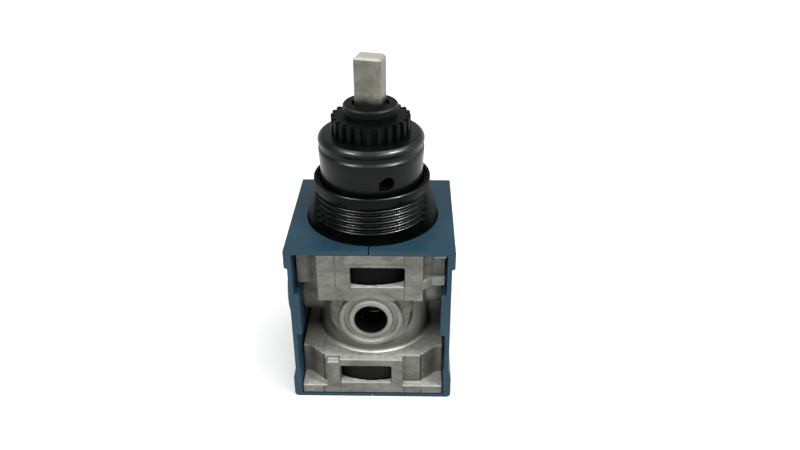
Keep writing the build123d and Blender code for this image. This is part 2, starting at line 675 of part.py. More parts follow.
with BuildPart() as bottom_cap:
    add(turned(
        (0, 0),
        (CAP_BOSS_R, 0),
        (CAP_BOSS_R, CASTING_BOTTOM + 0.1),
        (SKIRT_R, CASTING_BOTTOM + 0.1),
        (SKIRT_R, CAP_SHOULDER - 0.1),
        (CAP_NECK_R, CAP_SHOULDER - 0.1),
        (CAP_NECK_R, CAP_RING_Z - CAP_GROOVE[1]),
        (CAP_GROOVE[0], CAP_RING_Z - CAP_GROOVE[1]),
        (CAP_GROOVE[0], CAP_RING_Z + CAP_GROOVE[1]),
        (CAP_NECK_R, CAP_RING_Z + CAP_GROOVE[1]),
        (CAP_NECK_R, CAP_TOP),
        (SPRING_POCKET[0], CAP_TOP),
        SPRING_POCKET,
        (GUIDE_BORE_R, SPRING_POCKET[1]),
        (GUIDE_BORE_R, GUIDE_RING_Z + GUIDE_GROOVE[1]),
        (GUIDE_GROOVE[0], GUIDE_RING_Z + GUIDE_GROOVE[1]),
        (GUIDE_GROOVE[0], GUIDE_RING_Z - GUIDE_GROOVE[1]),
        (GUIDE_BORE_R, GUIDE_RING_Z - GUIDE_GROOVE[1]),
        (GUIDE_BORE_R, GUIDE_BORE_FLOOR),
        (0, GUIDE_BORE_FLOOR),
    ).part)
    # two holes for a pin spanner
    with Locations((-10, 0, 0), (10, 0, 0)):
        Cylinder(1.8, 4.0, align=FROM_BASE, mode=Mode.SUBTRACT)

cap_oring = ring(12.24, 0.74, CAP_RING_Z)
guide_oring = ring(5.72, 0.75, GUIDE_RING_Z)

with BuildPart() as aspirator_tube:
    tube_foot = Plane(origin=(0, TUBE_Y, WEB[1] + 1.8))
    bar(tube_foot, TUBE_R, 4.7)
    bar(tube_foot, TUBE_R - 0.5, 4.7, Mode.SUBTRACT)


# ------------------------------------------------------------ gauge plugs
PLUG_END = 17.0
PLUG_FACE = CASTING_SIDE - 0.1
PLUG_HEAD_T = 1.1
PLUG_HEAD_R = GAUGE_HEAD_R - 0.2
PLUG_SEAT = CASTING_SIDE - GAUGE_HEAD_DEPTH


def gauge_plug(side):
    """A headed plug with a hexagon socket."""
    with BuildPart() as plug:
        bar(sideways(side, PLUG_END), GAUGE_BORE_R - 0.05, PLUG_FACE - PLUG_END)
        bar(sideways(side, PLUG_FACE - PLUG_HEAD_T), PLUG_HEAD_R, PLUG_HEAD_T)
        with BuildSketch(sideways(side, PLUG_FACE)):
            RegularPolygon(2.9, 6)
        extrude(amount=-4.0, mode=Mode.SUBTRACT)
    return plug


left_gauge_plug = gauge_plug(-1)
right_gauge_plug = gauge_plug(1)

with BuildPart() as gauge_plug_seals:
    for side in (-1, 1):
        seal_length = PLUG_FACE - PLUG_HEAD_T - PLUG_SEAT
        bar(sideways(side, PLUG_SEAT), PLUG_HEAD_R - 0.1, seal_length)
        bar(sideways(side, PLUG_SEAT), GAUGE_BORE_R, seal_length, Mode.SUBTRACT)


# ------------------------------------------------------------ one file for each piece
pieces = {
    "body_casting": body_casting,
    "left_cover": left_cover,
    "right_cover": right_cover,
    "threaded_bonnet": threaded_bonnet,
    "detent_sleeve": detent_sleeve,
    "lock_spline_ring": lock_spline_ring,
    "spindle_bush": spindle_bush,
    "spindle_seal": spindle_seal,
    "adjusting_spindle": adjusting_spindle,
    "thrust_washer": thrust_washer,
    "spring_nut": spring_nut,
    "main_spring": main_spring,
    "hub_nut": hub_nut,
    "diaphragm_plate": diaphragm_plate,
    "diaphragm": diaphragm,
    "diaphragm_hub": diaphragm_hub,
    "slip_ring": slip_ring,
    "valve_seat": valve_seat,
    "valve_stem": valve_stem,
    "valve_poppet": valve_poppet,
    "poppet_seal": poppet_seal,
    "return_spring": return_spring,
    "bottom_cap": bottom_cap,
    "cap_oring": cap_oring,
    "guide_oring": guide_oring,
    "aspirator_tube": aspirator_tube,
    "left_gauge_plug": left_gauge_plug,
    "right_gauge_plug": right_gauge_plug,
    "gauge_plug_seals": gauge_plug_seals,
}

os.makedirs("parts", exist_ok=True)
for name, piece in pieces.items():
    piece.part.label = name
    export_step(piece.part, f"parts/{name}.step")
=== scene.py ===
import json
import math

import bmesh
import bpy
import numpy as np
from mathutils import Matrix, Vector

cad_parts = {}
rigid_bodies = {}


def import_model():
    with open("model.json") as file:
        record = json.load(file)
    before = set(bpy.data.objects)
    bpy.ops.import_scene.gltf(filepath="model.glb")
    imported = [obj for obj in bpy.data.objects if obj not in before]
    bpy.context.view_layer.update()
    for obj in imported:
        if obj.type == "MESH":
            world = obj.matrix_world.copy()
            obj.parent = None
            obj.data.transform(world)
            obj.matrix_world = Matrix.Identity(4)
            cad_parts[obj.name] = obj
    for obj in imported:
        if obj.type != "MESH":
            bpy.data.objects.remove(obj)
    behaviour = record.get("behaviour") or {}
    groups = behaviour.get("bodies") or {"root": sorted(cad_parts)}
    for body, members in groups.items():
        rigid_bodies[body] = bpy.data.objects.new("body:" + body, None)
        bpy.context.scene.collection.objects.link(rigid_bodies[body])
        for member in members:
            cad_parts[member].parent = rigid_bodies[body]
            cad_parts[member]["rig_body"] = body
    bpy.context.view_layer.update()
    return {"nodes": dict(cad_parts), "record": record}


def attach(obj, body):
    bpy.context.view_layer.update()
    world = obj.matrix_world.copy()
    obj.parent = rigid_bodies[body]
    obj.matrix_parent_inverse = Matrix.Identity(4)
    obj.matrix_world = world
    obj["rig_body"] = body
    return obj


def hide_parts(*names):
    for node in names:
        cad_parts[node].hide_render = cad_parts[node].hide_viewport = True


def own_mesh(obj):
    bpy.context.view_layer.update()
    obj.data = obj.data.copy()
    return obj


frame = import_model()

# Lockable panel-mount pressure regulator. +Z is up, the front port faces -Y.
# Lengths below are in millimetres, and MM turns them into metres.
MM = 0.001
NODES = frame["nodes"]
SLOTS = {part["node"]: part["material_slot"] for part in frame["record"]["subparts"]}
PORT_Z = 32.5            # height of the ports' axis
PORT_R = 5.2
SEAM_X = 11.0            # the casting's seams lie this far either side of the middle


# ------------------------------------------------------------ material helpers
class Graph:
    """A material's node tree, with short calls for the nodes used here; sizes in millimetres."""

    def __init__(self, name):
        self.material = bpy.data.materials.new(name)
        self.material.use_nodes = True
        self.tree = self.material.node_tree
        self.tree.nodes.clear()
        self.shader = self.tree.nodes.new("ShaderNodeBsdfPrincipled")
        output = self.tree.nodes.new("ShaderNodeOutputMaterial")
        self.tree.links.new(self.shader.outputs["BSDF"], output.inputs["Surface"])
        coordinates = self.tree.nodes.new("ShaderNodeTexCoord")
        scaled = self.tree.nodes.new("ShaderNodeVectorMath")
        scaled.operation = "SCALE"
        scaled.inputs["Scale"].default_value = 1 / MM
        self.tree.links.new(coordinates.outputs["Object"], scaled.inputs[0])
        self.place = scaled.outputs["Vector"]

    def feed(self, socket, value):
        """Links an output into a socket, or sets the socket's own value."""
        if isinstance(value, bpy.types.NodeSocket):
            self.tree.links.new(value, socket)
        else:
            socket.default_value = value

    def stretched(self, x, y, z):
        """The place with each axis multiplied, to draw out a pattern."""
        node = self.tree.nodes.new("ShaderNodeVectorMath")
        node.operation = "MULTIPLY"
        self.feed(node.inputs[0], self.place)
        node.inputs[1].default_value = (x, y, z)
        return node.outputs["Vector"]

    def noise(self, size, detail=4.0, roughness=0.55, place=None, distortion=0.0):
        """Noise from 0 to 1 whose features are about size millimetres across."""
        node = self.tree.nodes.new("ShaderNodeTexNoise")
        self.feed(node.inputs["Vector"], place or self.place)
        node.inputs["Scale"].default_value = 1 / size
        node.inputs["Detail"].default_value = detail
        node.inputs["Roughness"].default_value = roughness
        node.inputs["Distortion"].default_value = distortion
        return node.outputs["Fac"]

    def cells(self, size):
        """Distance to the nearest of scattered points about size millimetres apart."""
        node = self.tree.nodes.new("ShaderNodeTexVoronoi")
        node.feature = "F1"
        self.feed(node.inputs["Vector"], self.place)
        node.inputs["Scale"].default_value = 1 / size
        return node.outputs["Distance"]

    def ramp(self, value, low, high, start=0.0, end=1.0):
        """Maps low..high of a value to start..end, clamped."""
        node = self.tree.nodes.new("ShaderNodeMapRange")
        self.feed(node.inputs["Value"], value)
        node.inputs["From Min"].default_value = low
        node.inputs["From Max"].default_value = high
        node.inputs["To Min"].default_value = start
        node.inputs["To Max"].default_value = end
        return node.outputs["Result"]

    def near(self, value, middle, reach):
        """1 where a value is at the middle, falling to 0 at its reach either side."""
        off = self.math("ABSOLUTE", self.math("SUBTRACT", value, middle))
        return self.ramp(off, reach * 0.4, reach, 1.0, 0.0)

    def math(self, operation, a, b=0.0):
        """One arithmetic step."""
        node = self.tree.nodes.new("ShaderNodeMath")
        node.operation = operation
        self.feed(node.inputs[0], a)
        self.feed(node.inputs[1], b)
        return node.outputs["Value"]

    def times(self, first, *others):
        """The product of masks or numbers."""
        for other in others:
            first = self.math("MULTIPLY", first, other)
        return first

    def mix(self, factor, a, b):
        """Colour a where factor is 0, colour b where it is 1."""
        node = self.tree.nodes.new("ShaderNodeMix")
        node.data_type = "RGBA"
        self.feed(node.inputs["Factor"], factor)
        self.feed(node.inputs[6], a)
        self.feed(node.inputs[7], b)
        return node.outputs[2]

    def along(self, axis):
        """The place along one axis, in millimetres."""
        node = self.tree.nodes.new("ShaderNodeSeparateXYZ")
        self.feed(node.inputs[0], self.place)
        return node.outputs[axis]

    def off_middle(self, axis):
        """The distance from the middle along one axis, either way."""
        return self.math("ABSOLUTE", self.along(axis))

    def from_axis(self, first, second, centre=(0, 0)):
        """Distance from a point in the plane of two axes."""
        a = self.math("SUBTRACT", self.along(first), centre[0])
        b = self.math("SUBTRACT", self.along(second), centre[1])
        return self.math("SQRT", self.math("ADD", self.times(a, a), self.times(b, b)))

    def seams(self, distance):
        """1 on broken upright lines at a distance either side of the middle."""
        off = self.math("ABSOLUTE", self.math("SUBTRACT", self.off_middle("X"), distance))
        line = self.ramp(off, 0.06, 0.16, 1.0, 0.0)
        return self.times(line, self.ramp(self.noise(5.0), 0.42, 0.5))

    def facing_up(self):
        """1 on a face that looks up, 0 on an upright one."""
        geometry = self.tree.nodes.new("ShaderNodeNewGeometry")
        node = self.tree.nodes.new("ShaderNodeSeparateXYZ")
        self.feed(node.inputs[0], geometry.outputs["Normal"])
        return node.outputs["Z"]

    def shoulders(self):
        """1 on faces that slope upwards, 0 on flat tops and upright walls."""
        up = self.facing_up()
        return self.times(self.ramp(up, 0.15, 0.45), self.ramp(up, 0.90, 0.97, 1.0, 0.0))

    def glossy_strips(self):
        """1 in two upright strips, one each side of the middle, and small elsewhere."""
        x = self.along("X")
        left = self.ramp(self.near(x, -6.5, 5.0), 0.0, 1.0, 0.0, 0.8)
        strips = self.math("MAXIMUM", self.near(x, 9.5, 7.5), left)
        return self.ramp(strips, 0.0, 1.0, 0.12, 1.0)

    def edges(self):
        """Above 0.5 on outer edges, below it in corners."""
        geometry = self.tree.nodes.new("ShaderNodeNewGeometry")
        return geometry.outputs["Pointiness"]

    def bump(self, height, distance, below=None):
        """A bump of so many millimetres, on top of another bump if given."""
        node = self.tree.nodes.new("ShaderNodeBump")
        node.inputs["Distance"].default_value = distance * MM
        node.inputs["Strength"].default_value = 1.0
        self.feed(node.inputs["Height"], height)
        if below is not None:
            self.feed(node.inputs["Normal"], below)
        return node.outputs["Normal"]

    def set(self, **values):
        """Sets the shader's sockets by name, with _ for a space."""
        for name, value in values.items():
            self.feed(self.shader.inputs[name.replace("_", " ")], value)


def colour(red, green, blue):
    """A colour from 0..255 display values."""

    def linear(value):
        """Undoes the display curve for one channel."""
        value /= 255
        return value / 12.92 if value <= 0.04045 else ((value + 0.055) / 1.055) ** 2.4

    return (linear(red), linear(green), linear(blue), 1.0)


# ------------------------------------------------------------ materials
def die_casting(name, dark, light):
    """Raw die casting: mottled and dull, with painted light on upward faces and painted shade in
    corners.
    """
    g = Graph(name)
    flow = g.noise(9.0, 5, 0.62, g.stretched(1.0, 1.0, 1.7), 0.6)
    mottle = g.noise(1.6, 6, 0.68)
    base = g.mix(g.ramp(flow, 0.36, 0.66), dark, light)
    base = g.mix(g.ramp(mottle, 0.52, 0.72, 0.0, 0.6), base, colour(64, 63, 58))
    warm = g.noise(5.0, 4, 0.6, g.stretched(0.8, 0.8, 1.4))
    base = g.mix(g.ramp(warm, 0.56, 0.75, 0.0, 0.4), base, colour(106, 96, 80))
    specks = g.ramp(g.cells(1.3), 0.10, 0.20, 1.0, 0.0)
    patches = g.ramp(g.noise(4.0, 3, 0.6), 0.50, 0.62)
    base = g.mix(g.times(specks, patches, 0.5), base, colour(52, 50, 47))
    # painted shade in the corners, but not round the ports, and dark seams
    off_port = g.from_axis("X", "Z", (0, PORT_Z))
    corner_shade = g.times(g.ramp(g.edges(), 0.40, 0.48, 0.55, 0.0), g.ramp(off_port, 9.2, 10.2))
    base = g.mix(corner_shade, base, colour(40, 39, 37))
    seam = g.seams(SEAM_X)
    base = g.mix(g.times(seam, 0.75), base, colour(30, 29, 27))
    # dirt caught along the edge of the flat panels and in blots below it
    gritty = g.noise(1.1, 5, 0.75)
    panel_edge = g.times(g.near(g.off_middle("X"), 16.6, 0.5), g.ramp(gritty, 0.40, 0.50))
    blots = g.near(g.from_axis("X", "Z", (16.2, 8.5)), 0.0, 6.0)
    blots = g.times(blots, g.ramp(gritty, 0.56, 0.62))
    below_deck = g.ramp(g.along("Z"), 16.2, 17.0, 0.85, 0.0)
    bush_shade = g.times(g.math("MAXIMUM", panel_edge, blots), below_deck)
    base = g.mix(bush_shade, base, colour(22, 21, 19))
    # painted highlight on the outer edges
    base = g.mix(g.ramp(g.edges(), 0.53, 0.62, 0.0, 0.3), base, colour(180, 180, 172))
    # painted light on upward faces, and a brighter painted highlight at the foot of the barrel
    below_top = g.ramp(g.along("Z"), 54.0, 55.5, 1.0, 0.0)
    top_light_mottle = g.times(g.ramp(mottle, 0.35, 0.65, 0.3, 0.65), below_top)
    top_light = g.times(g.ramp(g.facing_up(), 0.55, 0.9), top_light_mottle)
    base = g.mix(top_light, base, colour(182, 182, 176))
    # painted highlight in a crescent round the foot of the barrel
    off_spindle = g.from_axis("X", "Y")
    foot_highlight = g.times(g.near(off_spindle, 20.55, 0.45), g.near(g.along("Z"), 16.1, 0.5))
    foot_highlight = g.times(foot_highlight, g.near(g.along("X"), 2.5, 16.0))
    base = g.mix(foot_highlight, base, colour(250, 250, 246))
    # painted light on the barrel's right flank
    flank_light = g.times(g.ramp(g.along("X"), 6.0, 13.0, 0.0, 0.5), g.near(g.along("Z"), 27.0, 12.0))
    flank_light = g.times(flank_light, g.near(off_spindle, 20.7, 3.0))
    base = g.mix(flank_light, base, colour(172, 172, 166))
    # painted shade, nearly black, in the deep space behind the decks' corners
    deep_shade = g.ramp(g.off_middle("Y"), 3.0, 12.0, 0.95, 0.0)
    deep_shade = g.times(deep_shade, g.ramp(g.along("Z"), 23.0, 30.0, 1.0, 0.0))
    base = g.mix(deep_shade, base, colour(16, 16, 15))
    # the port bosses are lighter, and a dark curved line runs down beside each
    base = g.mix(g.ramp(off_port, 8.5, 10.5, 0.2, 0.0), base, colour(160, 160, 153))
    dark_arc = g.times(g.near(off_port, 13.2, 0.6), g.near(g.along("Z"), 30.0, 4.5))
    dark_arc = g.times(dark_arc, g.ramp(g.along("X"), 5.0, 8.0))
    base = g.mix(dark_arc, base, colour(18, 17, 16))
    # painted shade inside the port bores: near black, and a little metallic
    bore_shade = g.ramp(off_port, PORT_R + 0.15, PORT_R + 0.6, 1.0, 0.0)
    base = g.mix(bore_shade, base, colour(5, 6, 5))
    metal = g.ramp(bore_shade, 0.0, 1.0, 0.2, 0.0)
    rough = g.ramp(mottle, 0.3, 0.7, 0.42, 0.6)
    skin = g.bump(g.noise(0.55, 5, 0.7), 0.06)
    swirl = g.bump(g.noise(3.5, 3, 0.5), 0.16, below=skin)
    swirl = g.bump(seam, -0.1, below=swirl)
    shine = g.ramp(bore_shade, 0.0, 1.0, 0.5, 0.05)
    g.set(Base_Color=base, Metallic=metal, Roughness=rough, Normal=swirl)
    g.set(Specular_IOR_Level=shine)
    return g.material


def cover_plastic():
    """Satin moulded blue-grey plastic with dust and light rubbing."""
    g = Graph("moulded_cover_plastic")
    cloud = g.noise(14.0, 4, 0.6)
    base = g.mix(g.ramp(cloud, 0.35, 0.68), colour(17, 41, 53), colour(22, 48, 61))
    dust = g.noise(0.8, 6, 0.75)
    base = g.mix(g.ramp(dust, 0.60, 0.80, 0.0, 0.35), base, colour(66, 90, 102))
    rough = g.ramp(cloud, 0.3, 0.7, 0.42, 0.54)
    grain = g.bump(g.noise(0.22, 3, 0.6), 0.012)
    scuff = g.noise(2.0, 5, 0.7, g.stretched(0.25, 1.6, 1.2))
    g.set(Base_Color=base, Roughness=rough, Normal=g.bump(scuff, 0.02, below=grain))
    g.set(Specular_IOR_Level=0.24)
    return g.material


GLOSS = 5.5              # how much more the glossy strips reflect than the rest


def black_plastic(name, low, high, rough_low, rough_high, shine):
    """Black moulded plastic, dusty, with a faint turned grain round the axis."""
    g = Graph(name)
    cloud = g.noise(7.0, 5, 0.62)
    base = g.mix(g.ramp(cloud, 0.35, 0.68), low, high)
    dust = g.noise(0.6, 6, 0.78)
    base = g.mix(g.ramp(dust, 0.60, 0.82, 0.0, 0.12), base, colour(48, 48, 46))
    rough = g.ramp(g.noise(3.0, 5, 0.7), 0.3, 0.72, rough_low, rough_high)
    rings = g.noise(0.5, 4, 0.6, g.stretched(0.06, 0.06, 1.5))
    g.set(Base_Color=base, Roughness=rough, Normal=g.bump(rings, 0.012, below=g.bump(dust, 0.008)))
    glossy = g.times(g.shoulders(), g.glossy_strips())
    g.set(Specular_IOR_Level=g.ramp(glossy, 0.0, 1.0, shine, GLOSS * shine))
    return g.material


def bonnet_plastic():
    """Black plastic, glossy on the thread and dull on the side lands and the hidden skirt."""
    g = Graph("bonnet_plastic")
    cloud = g.noise(6.0, 5, 0.62)
    base = g.mix(g.ramp(cloud, 0.35, 0.68), colour(3, 4, 4), colour(8, 9, 9))
    dust = g.noise(0.6, 6, 0.78)
    base = g.mix(g.ramp(dust, 0.60, 0.82, 0.0, 0.12), base, colour(44, 44, 42))
    middle = g.ramp(g.from_axis("X", "X"), 20.0, 25.0, 1.0, 0.0)
    skirt = g.ramp(g.from_axis("X", "Y"), 22.2, 22.6)
    base = g.mix(skirt, base, colour(4, 4, 4))
    polish = g.times(middle, g.ramp(skirt, 0.0, 1.0, 1.0, 0.0))
    dull = g.ramp(polish, 0.0, 1.0, 0.55, 0.16)
    rough = g.math("ADD", dull, g.ramp(dust, 0.3, 0.7, 0.0, 0.12))
    rings = g.noise(0.5, 4, 0.6, g.stretched(0.06, 0.06, 1.5))
    shine = g.times(polish, g.shoulders(), g.glossy_strips())
    g.set(Base_Color=base, Roughness=rough)
    g.set(Specular_IOR_Level=g.ramp(shine, 0.0, 1.0, 0.06, 0.8))
    g.set(Normal=g.bump(rings, 0.002, below=g.bump(dust, 0.0015)))
    return g.material


def plated_steel(name, dark, light, rough_low, rough_high, grain, metallic=1.0, shade_heights=None):
    """Plated steel with fine marks. Grain says how much each axis draws the marks out, and
    shade_heights between which heights the painted shade fades out; given, it also paints light on
    upward faces."""
    g = Graph(name)
    marks = g.noise(0.35, 6, 0.7, g.stretched(*grain))
    cloud = g.noise(4.0, 4, 0.6)
    base = g.mix(g.ramp(cloud, 0.35, 0.68), dark, light)
    base = g.mix(g.ramp(marks, 0.55, 0.75, 0.0, 0.35), base, colour(120, 112, 98))
    if shade_heights is not None:
        # painted light on upward faces
        base = g.mix(g.ramp(g.facing_up(), 0.3, 0.8, 0.0, 0.8), base, colour(152, 149, 139))
        # painted shade where the spindle enters its bush
        uneven = g.math("ADD", g.along("Z"), g.ramp(cloud, 0.3, 0.7, -0.5, 0.5))
        bush_shade = g.ramp(uneven, *shade_heights, 1.0, 0.0)
        base = g.mix(bush_shade, base, colour(8, 8, 7))
        metallic = g.ramp(bush_shade, 0.0, 1.0, metallic, 0.0)
    rough = g.ramp(marks, 0.3, 0.7, rough_low, rough_high)
    g.set(Base_Color=base, Metallic=metallic, Roughness=rough, Normal=g.bump(marks, 0.015))
    return g.material


def brass(name, light, dark):
    """Turned brass with fine rings and a little tarnish."""
    g = Graph(name)
    rings = g.noise(0.3, 4, 0.6, g.stretched(0.1, 0.1, 2.0))
    tarnish = g.noise(3.0, 5, 0.65)
    base = g.mix(g.ramp(tarnish, 0.4, 0.7), light, dark)
    rough = g.ramp(tarnish, 0.3, 0.7, 0.24, 0.42)
    g.set(Base_Color=base, Metallic=1.0, Roughness=rough, Normal=g.bump(rings, 0.01))
    return g.material


def rubber():
    """Matt black nitrile with a bloom."""
    g = Graph("nitrile_rubber")
    bloom = g.noise(1.2, 5, 0.7)
    base = g.mix(g.ramp(bloom, 0.45, 0.75), colour(24, 24, 25), colour(52, 52, 52))
    rough = g.ramp(bloom, 0.3, 0.7, 0.62, 0.8)
    g.set(Base_Color=base, Roughness=rough, Normal=g.bump(g.noise(0.2), 0.01))
    return g.material


MATERIALS = {
    "die_casting": die_casting("raw_die_casting", colour(68, 68, 63), colour(98, 98, 92)),
    "cover_plastic": cover_plastic(),
    "black_plastic": black_plastic("black_moulded_plastic", colour(4, 6, 6), colour(9, 11, 10),
                                   rough_low=0.20, rough_high=0.34, shine=0.12),
    "spindle_steel": plated_steel("nickel_plated_spindle", colour(78, 77, 70),
                                  colour(104, 102, 93), rough_low=0.34, rough_high=0.50,
                                  grain=(1.6, 1.6, 0.12), metallic=0.35, shade_heights=(99.2, 102.4)),
    "plain_steel": plated_steel("zinc_plated_steel", colour(168, 170, 172),
                                colour(196, 198, 200), rough_low=0.26, rough_high=0.42,
                                grain=(0.5, 0.5, 0.5)),
    "spring_steel": plated_steel("oiled_spring_wire", colour(92, 92, 94), colour(122, 122, 124),
                                 rough_low=0.30, rough_high=0.45, grain=(1.0, 1.0, 1.0)),
    "brass": brass("turned_brass", colour(198, 164, 92), colour(152, 118, 62)),
    "rubber": rubber(),
}
# a lighter copy of the casting finish for the corner ledges, painted light
LIT_LEDGE_CASTING = die_casting("lit_ledge_die_casting", colour(112, 112, 106), colour(146, 146, 140))
MATT_BLACK = black_plastic("matt_black_plastic", colour(3, 4, 4), colour(7, 8, 8),
                           rough_low=0.42, rough_high=0.58, shine=0.07)
DULL_BLACK = black_plastic("dull_black_plastic", colour(9, 9, 9), colour(16, 16, 15),
                           rough_low=0.5, rough_high=0.65, shine=0.1)
# brass darkened as painted shade, for the nut deep inside the sleeve
SHADED_BRASS = brass("shade_darkened_brass", colour(64, 52, 30), colour(40, 33, 20))


# ------------------------------------------------------------ mesh helpers
def dress(piece, material):
    """Gives a piece one material on every face."""
    piece.data.materials.clear()
    piece.data.materials.append(material)


def smooth(piece, angle):
    """Smooth shading with creases above an angle, in degrees."""
    piece.data.shade_smooth()
    piece.data.set_sharp_from_angle(angle=math.radians(angle))


def new_piece(name, mesh_data, node_name, material=None):
    """Adds a mesh as a piece that moves with one of the parts and has that part's finish."""
    piece = bpy.data.objects.new(name, mesh_data)
    bpy.context.scene.collection.objects.link(piece)
    slot = SLOTS[node_name]
    dress(piece, material or MATERIALS[slot])
    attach(piece, NODES[node_name]["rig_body"])
    return piece


def applied(piece, keep=()):
    """Applies the piece's modifiers, apart from those whose names are kept."""
    graph = bpy.context.evaluated_depsgraph_get()
    graph.update()
    mesh = bpy.data.meshes.new_from_object(piece.evaluated_get(graph))
    for modifier in list(piece.modifiers):
        if modifier.name not in keep:
            piece.modifiers.remove(modifier)
    piece.data = mesh


# ------------------------------------------------------------ body casting
VOXEL = 0.30             # the mesh size of the casting's even skin
SOFTEN_STEPS = 3         # how many times the skin is smoothed, which rounds its corners
FACE_SHARE = 0.31        # the share of the even skin's faces that is kept
FLARE = (10.6, 14.2)     # the step round a port boss, as distances from the port's axis
FLARE_Z = (17.5, 40.2)   # the heights between which the step is sloped
FLARE_TOP = (10.3, 21.7)  # where the slope starts, from the port's axis and from the middle
FLARE_FALL = 0.62        # how far the slope falls for each millimetre outwards


def slope_flares(mesh):
    """Slopes the step round each port boss back to the barrel."""
    count = len(mesh.vertices)
    points = np.empty(count * 3)
    mesh.vertices.foreach_get("co", points)
    points = points.reshape(count, 3) / MM
    x, y, z = points.T
    off_axis = np.hypot(x, z - PORT_Z)
    slope = FLARE_TOP[1] - FLARE_FALL * (off_axis - FLARE_TOP[0])
    on_step = (off_axis > FLARE[0]) & (off_axis < FLARE[1]) & (np.abs(y) > slope)
    on_step &= (z > FLARE_Z[0]) & (z < FLARE_Z[1])
    points[on_step, 1] = (np.sign(y) * slope)[on_step]
    mesh.vertices.foreach_set("co", (points * MM).ravel())
    mesh.update()


def cast_body():
    """The die casting with its corners rounded as castings are."""
    piece = new_piece("cast_body", NODES["body_casting"].data.copy(), "body_casting")
    remesh = piece.modifiers.new("even_skin", "REMESH")
    remesh.mode = "VOXEL"
    remesh.voxel_size = VOXEL * MM
    soften = piece.modifiers.new("round_corners", "SMOOTH")
    soften.iterations = SOFTEN_STEPS
    soften.factor = 0.5
    thin = piece.modifiers.new("fewer_faces", "DECIMATE")
    thin.ratio = FACE_SHARE
    thin.show_viewport = False
    applied(piece, keep=("fewer_faces",))
    slope_flares(piece.data)
    thin.show_viewport = True
    applied(piece)
    smooth(piece, 60)
    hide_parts("body_casting")


# ------------------------------------------------------------ threaded bonnet
# Z is a height and R a radius in these names
FLANK_Z = 57.5           # the neck starts at the top of the casting
LAND_FOOT_Z = 60.3       # the thread and the narrowing of the side lands start here
BAND_BOTTOM = 70.8
RIM_Z = 74.15
NECK_R = 21.5
BAND_R = 19.05
ROOT_R = 18.1
CREST_R = 19.0
PITCH = 2.0
FIRST_RIDGE_Z = 61.5     # height of the lowest ridge in the middle of the front
RIDGE_HALF = 0.78        # half the width of a ridge at its root
RIDGE_FLANK = 0.62       # the width of each flank of a ridge
RUN_IN = 0.5             # the height over which the thread starts
LAND_X = 17.4            # the thread is cut away sideways of this
LAND_EDGE = 0.5          # the width over which a side land meets the thread
BAND_LEAD = 0.35         # the band starts this far below its bottom edge
BAND_EDGE = 0.4          # and is reached over this height
ROW_STEP = 0.1
AROUND = 480             # how many vertices there are in a row

# rim, socket, spring chamber and skirt, as (radius, height) corners going inwards and down
INSIDE = (
    (18.0, RIM_Z), (18.0, RIM_Z - 1.0), (17.2, RIM_Z - 1.0), (17.2, 71.3),
    (16.05, 71.3), (16.05, 56.9), (14.2, 56.9), (14.2, 50.5),
    (19.3, 50.5), (19.3, 45.6), (22.9, 45.6), (22.9, FLANK_Z),
)
RIM_ROUND = 0.35         # rounding of the rim's outer edge


def ease(value):
    """A smooth step from 0 to 1."""
    value = np.clip(value, 0.0, 1.0)
    return value * value * (3 - 2 * value)


def flank_radius(angle, z):
    """Outside radius of the bonnet below its band: a right-hand thread between two side lands."""
    land = NECK_R - (NECK_R - BAND_R) * ease((z - LAND_FOOT_Z) / (BAND_BOTTOM - LAND_FOOT_Z))
    turns = (z - FIRST_RIDGE_Z) / PITCH - (angle + math.pi / 2) / (2 * math.pi)
    off_crest = np.abs(turns - np.round(turns)) * PITCH
    ridge = ease((RIDGE_HALF - off_crest) / RIDGE_FLANK) * ease((z - LAND_FOOT_Z) / RUN_IN)
    thread = ROOT_R + (CREST_R - ROOT_R) * ridge
    sideways = np.abs(np.cos(angle)) * (ROOT_R + 0.4 + land) / 2
    side = ease((sideways - LAND_X + LAND_EDGE / 2) / LAND_EDGE)
    radius = thread * (1 - side) + np.maximum(land, thread) * side
    band = ease((z - BAND_BOTTOM + BAND_LEAD) / BAND_EDGE)
    return radius * (1 - band) + BAND_R * band


def bonnet():
    """The bonnet with its real helical thread."""
    angle = np.arange(AROUND) * 2 * math.pi / AROUND - math.pi
    heights = np.arange(FLANK_Z, BAND_BOTTOM + 0.2, ROW_STEP)
    rows = [(flank_radius(angle, z), z) for z in heights]
    for turn in np.linspace(0, math.pi / 2, 6):
        radius = BAND_R - RIM_ROUND + RIM_ROUND * math.cos(turn)
        rows.append((np.full(AROUND, radius), RIM_Z - RIM_ROUND + RIM_ROUND * math.sin(turn)))
    rows += [(np.full(AROUND, radius), z) for radius, z in INSIDE]
    points = []
    for radius, z in rows:
        ring = [radius * np.cos(angle), radius * np.sin(angle), np.full(AROUND, z)]
        points.append(np.stack(ring, axis=1))
    across = np.arange(AROUND)
    beside = (across + 1) % AROUND
    faces = []
    for row in range(len(rows)):
        low, high = row * AROUND, (row + 1) % len(rows) * AROUND
        quads = [low + across, low + beside, high + beside, high + across]
        faces.append(np.stack(quads, axis=1))
    mesh = bpy.data.meshes.new("bonnet_with_thread")
    places = (np.concatenate(points) * MM).tolist()
    mesh.from_pydata(places, [], np.concatenate(faces).tolist())
    piece = new_piece("bonnet_with_thread", mesh, "threaded_bonnet", bonnet_plastic())
    smooth(piece, 40)
    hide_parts("threaded_bonnet")


# ------------------------------------------------------------ sleeve and corner ledges
SHOULDER = (17.15, 88.95, 1.9)     # radius, top and rounding of the sleeve's shoulder
CLEAR = 0.01                       # the envelope stands off the sleeve's wall by this


